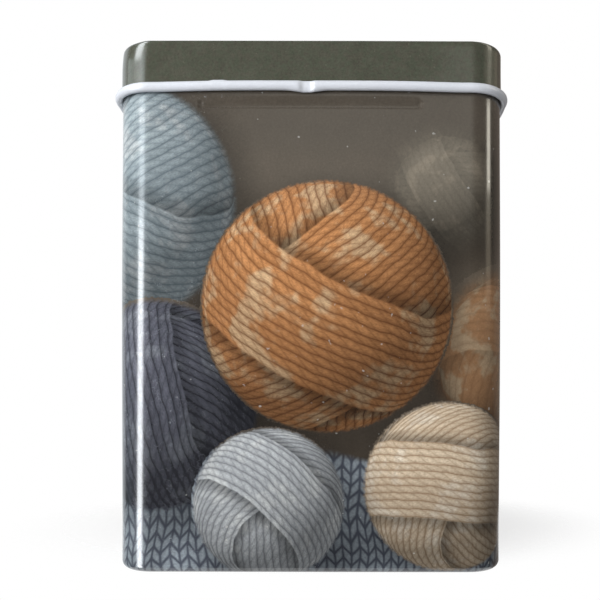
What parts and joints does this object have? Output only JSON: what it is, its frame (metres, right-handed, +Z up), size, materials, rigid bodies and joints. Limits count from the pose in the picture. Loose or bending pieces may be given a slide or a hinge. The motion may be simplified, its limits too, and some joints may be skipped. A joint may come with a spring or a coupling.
{
  "type": "cigarette tin",
  "caption": "Shut flip-top tin of printed tinplate with rounded upright corners, a lid with a white rolled edge, rear hinge tongues and a recessed bottom end.",
  "frame": {"origin": "middle of the footprint, on the surface that the tin stands on", "axes": "+Z up towards the lid, +Y from the front, which has the stop groove, towards the hinge, +X to the right seen from the front"},
  "size_m": [0.071, 0.0296, 0.092],
  "materials": {
    "printed_wall": "gloss",
    "lid_enamel": "gloss",
    "bare_tinplate": "satin"
  },
  "bodies": {
    "root": {"body": "printed_wall", "lid": "lid_enamel", "base_plate": "bare_tinplate"}
  },
  "joints": []
}
